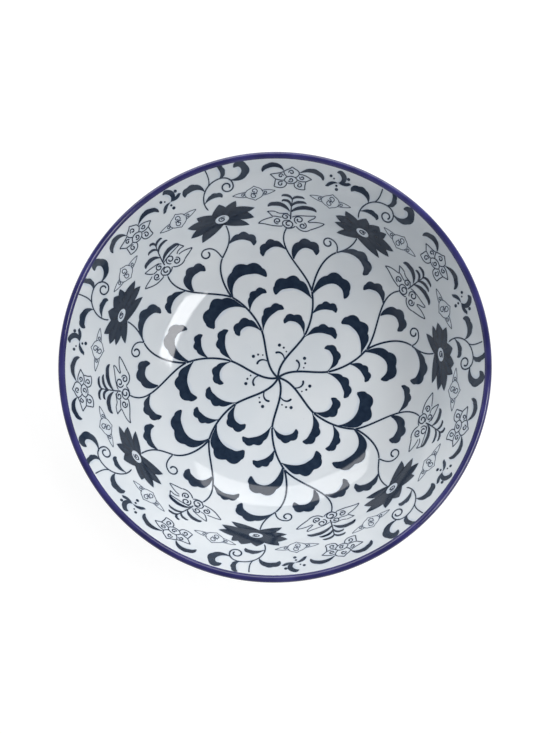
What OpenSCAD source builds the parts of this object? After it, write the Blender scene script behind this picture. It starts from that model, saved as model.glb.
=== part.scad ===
// Porcelain serving bowl: a footed bowl of revolution, glazed white, with a cobalt band over its lip
// and a cobalt flower scroll printed inside. Millimetres, +Z up, origin on the table under the centre.

/* [Bowl] */
// Outside diameter over the lip
rim_d = 210; // [185:1:250]
// Height from the table to the top of the lip
height = 76; // [66:1:95]
// Height of the inside floor's centre above the table
floor_height = 8.6; // [7:0.1:14]
// Radius of the shallow dish that the inside floor follows
floor_radius = 220; // [180:1:320]
// Radius of the knee that turns the floor up into the wall
knee_radius = 46; // [34:1:54]
// Slope of the straight wall above the table
wall_angle = 62; // [54:1:70]
// Thickness of the fired porcelain
wall = 2.7; // [2:0.1:4]
// Thickness of each coat of glaze
glaze = 0.3; // [0.2:0.05:0.6]

/* [Foot] */
// Outside diameter of the foot ring on the table
foot_d = 100; // [80:1:110]
// Width of the foot ring on the table
foot_w = 5; // [4:0.1:8]
// Lean of the foot ring's sides, which spread towards the bowl
foot_draft = 8; // [2:1:15]
// Bevel on the edges of the foot ring's sole
toe_bevel = 0.6; // [0.3:0.1:1]
// Height of bare clay left above the table
bare_toe = 1.4; // [1.2:0.1:3]

/* [Rim band] */
// Reach of the band down the inside, from the middle of the lip
band_inside = 0.6; // [0.4:0.1:4]
// Reach of the band down the outside, from the middle of the lip
band_outside = 2.6; // [0.4:0.1:6]

/* [Print] */
// Thickness of the printed film on the glaze
print_t = 0.3; // [0.15:0.05:0.5]
// Repeats of the scroll round the bowl
repeats = 7; // [5:1:9]
// Run from the centre to the lip on the flat sheet that the motifs are drawn on
sheet_run = 133.7; // [125:0.1:145]
// Width of the scroll's stems
stem_w = 1; // [0.7:0.1:1.4]
// Width of the fine outlines
line_w = 0.6; // [0.4:0.05:0.8]
// Fullness of the leaves, 1 as drawn
leaf_fullness = 1; // [0.8:0.05:1.15]

/* [Hidden] */
$fn = 180;
// Longer than any line in the section
reach = 2 * (rim_d + height + floor_radius);

// Lip: the round end of the wall
lip_r = wall / 2 + glaze;
lip_x = rim_d / 2 - lip_r;
lip_z = height - lip_r;
up_wall = [cos(wall_angle), sin(wall_angle)];
into_bowl = [-sin(wall_angle), cos(wall_angle)];

// Knee circle: tangent to the inside wall and to the floor's dish
dish_center = [0, floor_height + floor_radius];
knee_line = [lip_x, lip_z] + (lip_r + knee_radius) * into_bowl - dish_center;
knee_back = knee_line * up_wall
    + sqrt((knee_line * up_wall) ^ 2 - knee_line * knee_line + (floor_radius - knee_radius) ^ 2);
knee_center = dish_center + knee_line - knee_back * up_wall;

// Runs along the inside from the centre: to the end of the dish, of the knee and of the wall
dish_angle = atan2(knee_center.x, dish_center.y - knee_center.y);
dish_run = floor_radius * dish_angle * PI / 180;
knee_run = dish_run + knee_radius * (wall_angle - dish_angle) * PI / 180;
knee_end_r = knee_center.x + knee_radius * sin(wall_angle);
lip_run = knee_run + ([lip_x, lip_z] - knee_center) * up_wall;
print_scale = lip_run / sheet_run;

foot_r = foot_d / 2;
foot_mid = foot_r - foot_w / 2;

// Flat sheet to bowl: distance from the axis after a run s along the inside
function radius_at(s) =
    s < dish_run ? floor_radius * sin(s / floor_radius * 180 / PI)
    : s < knee_run ? knee_center.x + knee_radius * sin(dish_angle + (s - dish_run) / knee_radius * 180 / PI)
    : knee_end_r + (s - knee_run) * cos(wall_angle);
function in_plan(p) = let (d = norm(p)) d == 0 ? p : p / d * radius_at(d * print_scale);

// Cubic curve through four control points, its direction, and the left hand side of a direction
function curve(c, t) =
    (1 - t) ^ 3 * c[0] + 3 * (1 - t) ^ 2 * t * c[1] + 3 * (1 - t) * t ^ 2 * c[2] + t ^ 3 * c[3];
function heading(c, t) =
    let (v = (1 - t) ^ 2 * (c[1] - c[0]) + 2 * (1 - t) * t * (c[2] - c[1]) + t ^ 2 * (c[3] - c[2]))
        v / norm(v);
function left_of(v) = [-v.y, v.x];

// Share of its size that a spiral loses as it winds inwards
spiral_draw = 0.75;

// Points along a curve, round an oval and along a spiral
function along(c, steps) = [for (i = [0:steps]) curve(c, i / steps)];
function chain(curves, steps) = concat([curves[0][0]],
    [for (c = curves) for (i = [1:steps]) curve(c, i / steps)]);
function oval(center, size, steps) = [for (i = [0:steps - 1]) let (a = i * 360 / steps)
    center + [size.x * cos(a), size.y * sin(a)]];
function spiral(center, size, start, turns, steps) = [for (i = [0:steps])
    let (t = i / steps, a = start + 360 * turns * t)
        center + size * (1 - spiral_draw * t) * [cos(a), sin(a)]];

// Inside of the bowl in section, grown by g: dish, knee and wall as concentric and parallel lines
module inside_2d(g) {
    wall_foot = knee_center - (knee_radius + g) * into_bowl;
    intersection() {
        union() {
            intersection() {
                translate(dish_center) circle(floor_radius + g);
                polygon([dish_center, dish_center - [0, reach],
                    dish_center + 2 * reach * [sin(dish_angle), -cos(dish_angle)]]);
            }
            translate(knee_center) circle(knee_radius + g);
            polygon([knee_center, wall_foot, wall_foot + reach * up_wall, knee_center + reach * up_wall]);
            polygon([[0, knee_center.y], knee_center, knee_center + reach * up_wall,
                [0, knee_center.y + reach * up_wall.y]]);
        }
        translate([0, -reach]) square([2 * reach, 3 * reach]);
    }
}

// Lip frame: origin in the middle of the lip, Y up the wall, X out of the bowl
module at_lip() {
    translate([lip_x, lip_z]) rotate(wall_angle - 90) children();
}

module above_lip(y) {
    at_lip() translate([-reach, y]) square([2 * reach, reach]);
}

// Foot ring in section, with its sides grown by g
module foot_2d(g) {
    side = g / cos(foot_draft);
    top = floor_height + foot_r ^ 2 / floor_radius;
    spread = top * tan(foot_draft);
    polygon([[foot_r - foot_w - side, 0], [foot_r + side, 0],
        [foot_r + side + spread, top], [foot_r - foot_w - side - spread, top]]);
}

// Coat on the underside of the bowl and the sides of the foot, clear of the bare toe and of the band
module under_coat_2d() {
    difference() {
        union() {
            inside_2d(wall + 2 * glaze);
            foot_2d(glaze);
        }
        inside_2d(wall + glaze);
        foot_2d(0);
        translate([0, -reach]) square([reach, reach + bare_toe]);
        above_lip(-band_outside);
    }
}

// Porcelain wall and floor
module bowl_body() {
    color("whitesmoke") rotate_extrude() union() {
        difference() {
            inside_2d(wall + glaze);
            inside_2d(glaze);
            above_lip(0);
        }
        at_lip() circle(wall / 2);
    }
}

// Ring that the bowl stands on, with a bevelled sole
module foot_ring() {
    color("linen") rotate_extrude() difference() {
        foot_2d(0);
        inside_2d(wall + glaze);
        for (edge = [foot_r, foot_r - foot_w])
            translate([edge, 0]) rotate(45) square(toe_bevel * sqrt(2), center = true);
    }
}

// White glaze inside, up to the band
module inner_glaze() {
    color("ghostwhite") rotate_extrude() difference() {
        inside_2d(glaze);
        inside_2d(0);
        above_lip(-band_inside);
    }
}

// White glaze outside, from the bare toe up to the band
module outer_glaze() {
    color("ghostwhite") rotate_extrude() difference() {
        under_coat_2d();
        translate([0, -reach]) square([foot_mid, 2 * reach]);
    }
}

// White glaze in the recess inside the foot
module base_glaze() {
    color("ghostwhite") rotate_extrude() intersection() {
        under_coat_2d();
        translate([0, -reach]) square([foot_mid, 2 * reach]);
    }
}

// Cobalt band over the lip
module rim_band() {
    color("darkslateblue") rotate_extrude() at_lip() difference() {
        union() {
            intersection() {
                circle(lip_r);
                translate([-lip_r, 0]) square([2 * lip_r, lip_r]);
            }
            translate([-lip_r, -band_inside]) square([lip_r, band_inside]);
            translate([0, -band_outside]) square([lip_r, band_outside]);
        }
        circle(wall / 2);
        translate([-wall / 2, -band_outside - band_inside]) square([wall, band_outside + band_inside]);
    }
}

// Printed film: the motifs, given in plan, lie on the inner glaze
module on_glaze() {
    intersection() {
        rotate_extrude() difference() {
            inside_2d(0);
            inside_2d(-print_t);
            above_lip(-band_inside);
        }
        linear_extrude(height) for (i = [0:repeats - 1]) rotate(i * 360 / repeats) children();
    }
}

// Filled shape
module patch(points) {
    polygon([for (p = points) in_plan(p)]);
}

// Line of even width along points
module line(points, w) {
    last = len(points) - 1;
    sides = [for (i = [0:last]) let (v = points[min(i + 1, last)] - points[max(i - 1, 0)])
        w / 2 * left_of(v / norm(v))];
    patch(concat([for (i = [0:last]) points[i] - sides[i]], [for (i = [last:-1:0]) points[i] + sides[i]]));
}

// Leaf: an inner edge along a curve and a fuller outer edge on one side of it, blunt at the tip
leaf_rise = 1.2;
leaf_fall = 3.2;
function leaf_share(t) = t < 0.5 ? sin(180 * t) ^ leaf_rise : sqrt(1 - leaf_fall * (t - 0.5) ^ 2);
module leaf(c, w, side) {
    steps = 7;
    crown = [for (i = [steps:-1:1]) let (t = i / steps)
        curve(c, t) + side * w * leaf_fullness * leaf_share(t) * left_of(heading(c, t))];
    patch(concat(along(c, steps), crown));
}

// Turns of the motifs from the dark flower, which lies on +Y in each repeat
wing_turn = 27.3;
floret_turns = [14.6, -12];
sprig_turn = 13.6;

// Stems of one repeat: one from the bowl's centre to the winged flower, and a branch to the dark flower that
// starts clear of it. The repeats draw together round a small clear spot at the centre.
hub_clear = 1.6;
fork = [-0.4, 27];
split = [-10, 48.8];
branch_start = [-10.9, 51.3];
curl_joint = [-9, 74.5];
main_stem = [
    [[0, hub_clear], [-4.5, 8], [-0.2, 18], fork],
    [fork, [-1.2, 35], [-4.5, 43], split],
    [split, [-20, 56.5], [-36, 58], [-39, 71.6]]
];
branch_stem = [
    [branch_start, [-13.2, 57.6], [-14.2, 67.4], curl_joint],
    [curl_joint, [-6, 78.5], [-2, 83], [-1.4, 88.4]]
];

module stem_lines() {
    line(chain(main_stem, 8), stem_w);
    line(chain(branch_stem, 8), stem_w);
}

// Hairline gap in the stems over the edge of the floor's dish, so that each length lies on one curved face
dish_edge = (floor_radius - print_t / 2) * sin(dish_angle);
edge_gap = 0.4;

module scroll_stems() {
    color("midnightblue") on_glaze() difference() {
        stem_lines();
        difference() {
            circle(dish_edge + edge_gap / 2);
            circle(dish_edge - edge_gap / 2);
        }
    }
}

// Tendrils beside the stems: a hook with dots by the centre, and a curl below the dark flower
hook = [[-2.9, 11], [-4, 13.2], [-7.8, 13.8], [-8.6, 10.4]];
dot_set = [[[-4.4, 14.9], 0.5], [[-6.5, 15.8], 0.65], [[-9, 15.4], 0.95]];
curl_stem = [curl_joint + [-0.9, 1.6], [-10, 77.5], [-10.6, 79.3], [-12.4, 80.1]];
curl_center = [-15.3, 77.2];
curl_r = 3.1;
curl_start = 80;
curl_turns = 1.2;

module scroll_tendrils() {
    color("midnightblue") on_glaze() {
        line(along(hook, 6), stem_w);
        for (d = dot_set) patch(oval(d[0], [d[1], d[1]], 8));
        line(concat(along(curl_stem, 3), spiral(curl_center, curl_r, curl_start, curl_turns, 9)), stem_w);
    }
}

// Leaves of one repeat: inner edge, width at the fullest, side that is full
scroll_leaf_set = [
    [[[-0.7, 27], [-4, 33], [-11, 32.5], [-12.8, 26.5]], 3.6, -1],
    [[[0.2, 26.8], [2.5, 31], [7, 35.2], [13.8, 33.6]], 4.6, 1],
    [[[-3, 39.5], [-2, 43.5], [1.5, 46.2], [6.8, 46]], 3.6, 1],
    [[[-8.5, 45.8], [-16, 48.5], [-23, 46], [-24.8, 37.2]], 4.3, -1],
    [[[-8.3, 46.8], [-7.8, 53], [-0.5, 63], [6, 56.3]], 6.6, 1],
    [[[-34.6, 60.9], [-39, 62], [-44, 57], [-41.2, 51]], 3.9, -1],
    [[[-26.6, 58.9], [-29.5, 66], [-21.5, 71.5], [-17.6, 66.2]], 5.2, 1],
    [[[-8, 75.2], [0, 81], [8.5, 79], [8.8, 71.8]], 4.2, 1]
];

module scroll_leaves() {
    color("midnightblue") on_glaze() difference() {
        for (l = scroll_leaf_set) leaf(l[0], l[1], l[2]);
        stem_lines();
    }
}

// Dark flower: pointed petals on an oval, with a pale oval eye
flower_center = [-0.5, 96];
flower_size = [20.5, 10.7];
petal_angles = [-52, -25, 5, 54, 75, 98, 139, 180, 203, 234];
valley_share = 0.68;
eye_size = [4.2, 2.6];
function on_flower(share, a) = flower_center + share * [flower_size.x * cos(a), flower_size.y * sin(a)];

module dark_flowers() {
    last = len(petal_angles) - 1;
    color("midnightblue") on_glaze() difference() {
        patch([for (i = [0:last])
            let (a = petal_angles[i], b = i < last ? petal_angles[i + 1] : petal_angles[0] + 360)
                each [on_flower(1, a), on_flower(valley_share, (a + b) / 2)]]);
        patch(oval(flower_center, eye_size, 12));
    }
}

// Winged pale flower: outlined petals, volutes in them and a plume of leaves above
wing_outline_set = [
    [[-5.5, 90], [-11, 90.5], [-17, 88.5], [-18.4, 84]],
    [[-18.4, 84], [-14, 85], [-10, 83], [-4.5, 84.2]],
    [[-10.5, 90], [-12, 91], [-13, 92.5], [-14, 93.4]],
    [[-14, 93.4], [-9, 95], [-6, 92.5], [-1.5, 92.8]],
    [[0.8, 90.5], [4, 92.8], [10, 91.5], [14.2, 93.3]],
    [[14.2, 93.3], [13.5, 90], [9.5, 90.5], [9.2, 86.5]],
    [[10, 87.6], [12, 87.8], [15, 87.5], [17.8, 86.6]],
    [[17.8, 86.6], [15, 82.5], [9, 80.5], [3.5, 84.5]]
];
// Volutes: centre, size and the angle that each starts from
wing_volute_turns = 1.3;
floret_volute_turns = 1.2;
wing_volute_set = [
    [[-1, 85], 3, 240], [[-3, 90.3], 2.4, 20], [[-8, 86.8], 2, 200],
    [[4.5, 88.7], 2.9, 200], [[6.6, 84.9], 1.8, 60]
];
wing_plume_set = [
    [[[-1.2, 94.3], [-5, 97], [-10, 98.3], [-15.3, 96.4]], 2.9, -1],
    [[[1, 94.4], [5, 96], [10, 96.6], [14.5, 95.4]], 2.7, 1],
    [[[-0.5, 98.5], [-1.5, 101], [-3, 102], [-5.3, 101.8]], 1.2, -1],
    [[[0.3, 97.5], [1.5, 100], [4, 100.6], [7.8, 100.8]], 1.2, 1],
    [[[0, 103], [-1, 105.8], [-3, 106.2], [-5.8, 105.4]], 1.2, -1],
    [[[0.4, 103], [1.4, 104.6], [3, 104.8], [5.6, 104.7]], 1.1, 1]
];
wing_plume_stem = [[-0.6, 88], [-0.6, 93], [-0.4, 98], [0.2, 104]];

module winged_flowers() {
    color("steelblue") on_glaze() rotate(wing_turn) {
        for (c = wing_outline_set) line(along(c, 3), line_w);
        for (v = wing_volute_set) line(spiral(v[0], v[1], v[2], wing_volute_turns, 8), line_w);
        for (l = wing_plume_set) leaf(l[0], l[1], l[2]);
        line(along(wing_plume_stem, 4), stem_w);
    }
}

// Spray between the dark flower and the rim, ending in a spiral
spray_stem = [[-8, 105.5], [-12, 116], [-3, 123.5], [6, 121.8]];
spray_curl_center = [7.8, 116.6];
spray_curl_r = 4.7;
spray_curl_start = 80;
spray_curl_turns = -1.3;
spray_leaf_set = [
    [[[-6.9, 118], [-9, 122], [-15, 121.8], [-19.5, 118.6]], 3.2, -1],
    [[[-8.3, 109], [-4, 111.3], [0.5, 111.4], [2.3, 108.8]], 2.3, 1],
    [[[3.5, 122.2], [7.5, 124], [8.5, 128], [4, 129.5]], 2.6, -1],
    [[[11.5, 119], [20, 117.5], [23.5, 127.5], [16.5, 126.3]], 4.2, -1],
    [[[-2.8, 120.5], [-1.6, 122], [-1, 125], [-1.9, 129.3]], 0.9, -1]
];

module rim_sprays() {
    color("midnightblue") on_glaze() {
        line(concat(along(spray_stem, 7),
            spiral(spray_curl_center, spray_curl_r, spray_curl_start, spray_curl_turns, 12)), stem_w);
        for (l = spray_leaf_set) leaf(l[0], l[1], l[2]);
    }
}

// Rim floret: outlined petals with volutes, and a leaf on each side
rim_floret_outline_set = [
    [[-5.5, 123.6], [-3, 126], [-2, 125.8], [-0.6, 127.4]],
    [[-0.6, 127.4], [1.5, 125.8], [4, 125.5], [4.4, 122.3]],
    [[-5.5, 123.6], [-9, 123.2], [-11, 121.6], [-14.3, 121]],
    [[-14.3, 121], [-12, 119.8], [-11, 118.5], [-9.8, 118]],
    [[-10.6, 118.2], [-10.6, 116], [-11.4, 114.5], [-11.4, 112.8]],
    [[-11.4, 112.8], [-8, 111.8], [-5, 112.3], [-4.2, 115.3]],
    [[0.8, 115], [1.5, 112.3], [5, 111.8], [7.8, 112.2]],
    [[7.8, 112.2], [7.2, 114.5], [7.8, 116], [8.2, 118]],
    [[4.4, 122.3], [8, 122.8], [10, 121], [12.2, 119.6]],
    [[12.2, 119.6], [10.5, 118.5], [9.5, 118.3], [8.2, 118]]
];
rim_floret_volute_set = [
    [[-1, 118.3], 3, 90], [[-7.6, 120.9], 1.9, 0], [[-0.9, 123.1], 2, 180], [[5.4, 120.2], 1.9, 180],
    [[-7.3, 115.5], 1.9, 60], [[4, 115.4], 1.9, 120]
];
rim_floret_leaf_set = [
    [[[-6.8, 124.2], [-9, 126.8], [-16, 126.8], [-20.6, 122.6]], 2.2, -1],
    [[[5.2, 123.6], [9, 124.6], [15, 123.8], [18.5, 119.6]], 2.2, 1]
];

module rim_florets() {
    color("steelblue") on_glaze() rotate(wing_turn) {
        for (c = rim_floret_outline_set) line(along(c, 3), line_w);
        for (v = rim_floret_volute_set) line(spiral(v[0], v[1], v[2], floret_volute_turns, 8), line_w);
        for (l = rim_floret_leaf_set) leaf(l[0], l[1], l[2]);
    }
}

// Small floret between the large ones: a round heart with a pointed petal on each side
small_floret_outline_set = [
    [[-13.4, 107.6], [-10, 109], [-7.5, 109.5], [-5, 109]],
    [[-13.4, 107.6], [-10, 106], [-7.5, 105.6], [-4.8, 106.4]],
    [[13, 108], [10, 109.2], [7.5, 109.6], [4.6, 109.4]],
    [[13, 108], [10, 106.2], [7.5, 105.7], [4.4, 106.4]],
    [[-5.2, 107.8], [-4, 112.4], [3.6, 112.9], [5, 107.9]],
    [[-5.2, 107.8], [-3.6, 103.4], [4, 103.2], [5, 107.9]]
];
small_floret_volute_set = [[[0.3, 109.5], 1.6, 180], [[-0.3, 106.4], 1.5, 0]];

module small_florets() {
    color("steelblue") on_glaze() for (turn = floret_turns) rotate(turn) {
        for (c = small_floret_outline_set) line(along(c, 3), line_w);
        for (v = small_floret_volute_set) line(spiral(v[0], v[1], v[2], floret_volute_turns, 8), line_w);
    }
}

// Sprig by the rim: three small arms among dots
sprig_arm_set = [
    [[[0, 121.6], [2, 123], [2, 126], [-1.4, 126.7]], 1.9, -1],
    [[[-0.4, 121.2], [-3, 122], [-5.5, 120.5], [-6.2, 117.6]], 1.2, 1],
    [[[0.6, 121.2], [3, 120.4], [5.5, 120.8], [7.2, 122.8]], 1.2, 1]
];
sprig_dot_set = [[[-4.6, 124], 0.8], [[4.8, 124.6], 0.9], [[0.2, 117.2], 0.9]];

module rim_sprigs() {
    color("midnightblue") on_glaze() rotate(sprig_turn) {
        for (l = sprig_arm_set) leaf(l[0], l[1], l[2]);
        for (d = sprig_dot_set) patch(oval(d[0], [d[1], d[1]], 8));
    }
}

bowl_body();
foot_ring();
inner_glaze();
outer_glaze();
base_glaze();
rim_band();
scroll_stems();
scroll_tendrils();
scroll_leaves();
dark_flowers();
winged_flowers();
rim_sprays();
rim_florets();
small_florets();
rim_sprigs();
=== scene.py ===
import bpy
import numpy as np
from mathutils import Matrix, Vector


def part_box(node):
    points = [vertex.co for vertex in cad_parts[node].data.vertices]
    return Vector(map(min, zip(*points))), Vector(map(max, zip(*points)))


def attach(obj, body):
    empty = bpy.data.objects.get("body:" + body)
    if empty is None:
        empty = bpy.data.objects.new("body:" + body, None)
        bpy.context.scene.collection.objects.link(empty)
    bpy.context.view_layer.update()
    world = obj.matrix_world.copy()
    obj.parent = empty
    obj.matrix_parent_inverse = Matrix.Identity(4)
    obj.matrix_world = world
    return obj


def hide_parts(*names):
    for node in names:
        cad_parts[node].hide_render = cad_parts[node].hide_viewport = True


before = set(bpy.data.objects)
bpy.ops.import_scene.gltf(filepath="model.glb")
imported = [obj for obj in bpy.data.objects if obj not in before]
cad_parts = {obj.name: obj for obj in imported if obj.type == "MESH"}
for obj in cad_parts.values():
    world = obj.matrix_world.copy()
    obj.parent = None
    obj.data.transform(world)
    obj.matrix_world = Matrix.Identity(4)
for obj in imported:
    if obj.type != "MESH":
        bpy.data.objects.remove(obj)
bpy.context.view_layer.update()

# Porcelain body: a thin wall of white china, pressed on a turning mould. Its section is a shallow dish, a
# round knee and a straight sloping wall with a round lip. Glaze covers it all, so its CAD solid stays.
mm = 0.001
rim_low, rim_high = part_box("rim_band")
rim_radius = (rim_high.x - rim_low.x) / 2
wall = 2.7 * mm
glaze = 0.3 * mm
lip_radius = wall / 2 + glaze
lip_center = np.array([rim_radius, rim_high.z]) - lip_radius
wall_angle = np.radians(62)
up_wall = np.array([np.cos(wall_angle), np.sin(wall_angle)])
out_of_wall = np.array([np.sin(wall_angle), -np.cos(wall_angle)])
dish_radius = 220 * mm
knee_radius = 46 * mm
dish_center = np.array([0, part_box("inner_glaze")[0].z + glaze + dish_radius])

# The knee's circle touches the dish's circle from within, and the straight wall.
knee_line = lip_center - (lip_radius + knee_radius) * out_of_wall - dish_center
knee_climb = knee_line @ up_wall
knee_drop = np.sqrt(knee_climb ** 2 - knee_line @ knee_line + (dish_radius - knee_radius) ** 2)
knee_center = dish_center + knee_line - (knee_climb + knee_drop) * up_wall
dish_angle = np.arctan2(knee_center[0], dish_center[1] - knee_center[1])
dish_run = dish_radius * dish_angle
knee_run = dish_run + knee_radius * (wall_angle - dish_angle)
lip_run = knee_run + (lip_center - knee_center) @ up_wall


def section(run, grow=0.0):
    """Radius, height and slope of the bowl's section after a run along its inside from the centre. The
    slope grows evenly along the dish's arc, then faster along the knee's arc, and stays the same up the
    straight wall. The point is moved by grow along the normal that points out of the bowl."""
    run = np.asarray(run, dtype=float)
    on_dish = run < dish_run
    knee_slope = np.minimum(dish_angle + (run - dish_run) / knee_radius, wall_angle)
    slope = np.where(on_dish, run / dish_radius, knee_slope)
    climb = np.maximum(run - knee_run, 0)
    arc_radius = np.where(on_dish, dish_radius, knee_radius)
    arc_center_x = np.where(on_dish, dish_center[0], knee_center[0])
    arc_center_z = np.where(on_dish, dish_center[1], knee_center[1])
    radius = arc_center_x + (arc_radius + grow) * np.sin(slope) + climb * up_wall[0]
    level = arc_center_z - (arc_radius + grow) * np.cos(slope) + climb * up_wall[1]
    return radius, level, slope


def add_node(tree, kind, inputs=None, **settings):
    """Adds one node to a material. Each input takes a value, or a link where a socket is given."""
    node = tree.nodes.new(kind)
    for key, value in settings.items():
        setattr(node, key, value)
    for socket, value in (inputs or {}).items():
        if isinstance(value, bpy.types.NodeSocket):
            tree.links.new(value, node.inputs[socket])
        else:
            node.inputs[socket].default_value = value
    return node


def add_ramp(tree, source, *stops):
    """Adds a colour ramp over a value from 0 to 1. Each stop is a position and a colour."""
    ramp = add_node(tree, "ShaderNodeValToRGB", {"Fac": source})
    while len(ramp.color_ramp.elements) < len(stops):
        ramp.color_ramp.elements.new(1.0)
    for element, (position, color) in zip(ramp.color_ramp.elements, stops):
        element.position = position
        element.color = (*color, 1)
    return ramp.outputs["Color"]


def add_mix(tree, share, first, second, blend="MIX"):
    """Adds a colour mix: first where the share is 0 and second where it is 1, or a blend of both."""
    inputs = {0: share, 6: first, 7: second}
    return add_node(tree, "ShaderNodeMix", inputs, data_type="RGBA", blend_type=blend).outputs[2]


def noise(tree, place, scale, detail):
    """Smooth noise from 0 to 1 at a place. The scale is about its number of lumps in a metre."""
    inputs = {"Vector": place, "Scale": scale, "Detail": detail}
    return add_node(tree, "ShaderNodeTexNoise", inputs).outputs["Fac"]


def start_look(name, ior):
    """New material with a principled shader, its node tree and its Object coordinates."""
    material = bpy.data.materials.new(name)
    material.use_nodes = True
    tree = material.node_tree
    shader = tree.nodes["Principled BSDF"]
    shader.inputs["IOR"].default_value = ior
    place = add_node(tree, "ShaderNodeTexCoord").outputs["Object"]
    return material, tree, shader, place


def biscuit_look():
    """Fired clay without glaze: warm white, with fine grain in colour and height and faint grey wear."""
    material, tree, shader, place = start_look("biscuit", ior=1.5)
    grain = noise(tree, place, scale=2600, detail=3)
    wear = noise(tree, place, scale=130, detail=4)
    clay = add_ramp(tree, wear, (0.3, (0.58, 0.55, 0.50)), (0.6, (0.74, 0.71, 0.66)))
    speck = add_ramp(tree, grain, (0.3, (0.84, 0.83, 0.81)), (0.55, (1, 1, 1)))
    tree.links.new(add_mix(tree, 1.0, clay, speck, "MULTIPLY"), shader.inputs["Base Color"])
    rough = add_node(tree, "ShaderNodeMapRange", {"Value": grain, "To Min": 0.6, "To Max": 0.85})
    tree.links.new(rough.outputs["Result"], shader.inputs["Roughness"])
    bump = add_node(tree, "ShaderNodeBump", {"Height": grain, "Strength": 0.4, "Distance": 0.04 * mm})
    tree.links.new(bump.outputs["Normal"], shader.inputs["Normal"])
    return material


biscuit = biscuit_look()
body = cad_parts["bowl_body"]
body.data.materials.clear()
body.data.materials.append(biscuit)

# Foot ring: turned on the body while the clay is soft, with sides that spread towards the bowl. Its sole
# and the lowest edge of its sides are wiped clean of glaze, and show the bare clay.
foot_radius = 50 * mm
foot_width = 5 * mm
foot_draft = np.radians(8)
toe_round = 0.6 * mm
bare_toe = 1.4 * mm
sharp_angle = np.radians(50)


def outer_side(level, grow=0.0):
    """Radius of the foot's outer side at a height: a line that spreads by the draft, moved by grow."""
    return foot_radius + level * np.tan(foot_draft) + grow / np.cos(foot_draft)


def inner_side(level, grow=0.0):
    """Radius of the foot's inner side at a height, moved towards the axis by grow."""
    return foot_radius - foot_width - level * np.tan(foot_draft) - grow / np.cos(foot_draft)


def put_mesh(name, points, faces, look):
    """Object at the origin from an array of points and arrays of faces, each a row of point numbers."""
    mesh = bpy.data.meshes.new(name)
    corners = np.concatenate([f.ravel() for f in faces])
    sizes = np.concatenate([np.full(len(f), f.shape[1]) for f in faces])
    mesh.vertices.add(len(points))
    mesh.vertices.foreach_set("co", points.ravel())
    mesh.loops.add(len(corners))
    mesh.loops.foreach_set("vertex_index", corners)
    mesh.polygons.add(len(sizes))
    mesh.polygons.foreach_set("loop_start", np.cumsum(sizes) - sizes)
    mesh.update(calc_edges=True)
    mesh.validate()
    mesh.polygons.foreach_set("use_smooth", np.ones(len(sizes), dtype=bool))
    mesh.materials.append(look)
    piece = bpy.data.objects.new(name, mesh)
    bpy.context.scene.collection.objects.link(piece)
    return piece


def turn_piece(name, radius, level, around, look):
    """Solid of revolution from a section that runs anticlockwise round the solid, in radius and height. A
    section that starts and ends on the axis is closed there by fans to a pole; any other joins its end to
    its start. Each value may also be a row of values round the axis. The solid rides on the bowl's one
    body."""
    bearing = np.linspace(0, 2 * np.pi, around, endpoint=False)
    radius = np.broadcast_to(np.reshape(radius, (len(radius), -1)), (len(radius), around))
    level = np.broadcast_to(np.reshape(level, (len(level), -1)), (len(level), around))
    poles = radius[0, 0] == 0
    points = np.stack([radius * np.cos(bearing), radius * np.sin(bearing), level], axis=-1)
    rings = points[1:-1] if poles else points
    first = np.arange(len(rings) - 1 if poles else len(rings))[:, None] * around
    second = (first + around) % (len(rings) * around)
    here = np.arange(around)
    there = (here + 1) % around
    quads = np.stack([first + here, first + there, second + there, second + here], axis=-1).reshape(-1, 4)
    faces = [quads]
    flat = rings.reshape(-1, 3)
    if poles:
        end = len(flat)
        low = np.stack([np.full(around, end), there, here], axis=-1)
        last = end - around
        high = np.stack([last + here, last + there, np.full(around, end + 1)], axis=-1)
        flat = np.concatenate([flat, points[0, :1], points[-1, :1]])
        faces += [low, high]
    piece = put_mesh(name, flat, faces, look)
    piece.data.set_sharp_from_angle(angle=sharp_angle)
    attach(piece, "root")
    return piece


def arc(center, size, start, end, count):
    """Radius and height of points on a circle about a center, between two angles in degrees."""
    angle = np.radians(np.linspace(start, end, count))
    return center[0] + size * np.cos(angle), center[1] + size * np.sin(angle)


def join(*parts):
    """One section from several parts, each an array of radius and an array of height."""
    return [np.concatenate([np.atleast_1d(part[i]) for part in parts]) for i in (0, 1)]


def straight(start, end, count):
    """Radius and height of evenly spaced points on a straight line."""
    return np.linspace(start[0], end[0], count), np.linspace(start[1], end[1], count)


foot_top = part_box("foot_ring")[1].z - 0.5 * mm
toe_out = (outer_side(toe_round) - toe_round, toe_round)
toe_in = (inner_side(toe_round) + toe_round, toe_round)
foot = turn_piece("foot", *join(
    straight((inner_side(foot_top), foot_top), (inner_side(toe_round), toe_round), 12),
    arc(toe_in, toe_round, 180, 270, 8),
    straight((toe_in[0], 0), (toe_out[0], 0), 8),
    arc(toe_out, toe_round, 270, 360, 8),
    straight((outer_side(toe_round), toe_round), (outer_side(foot_top), foot_top), 12)), 360, biscuit)
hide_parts("foot_ring")

# Outer and base glaze: a clear-white coat that the bowl is dipped in. It pools in the corners beside the
# foot and ends in a soft bead where the toe was wiped.
band_inside = 0.6 * mm
band_outside = 2.6 * mm
coat = wall + 2 * glaze
coat_sink = 0.05 * mm
pool = 2.2 * mm
glaze_ior = 1.52


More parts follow.
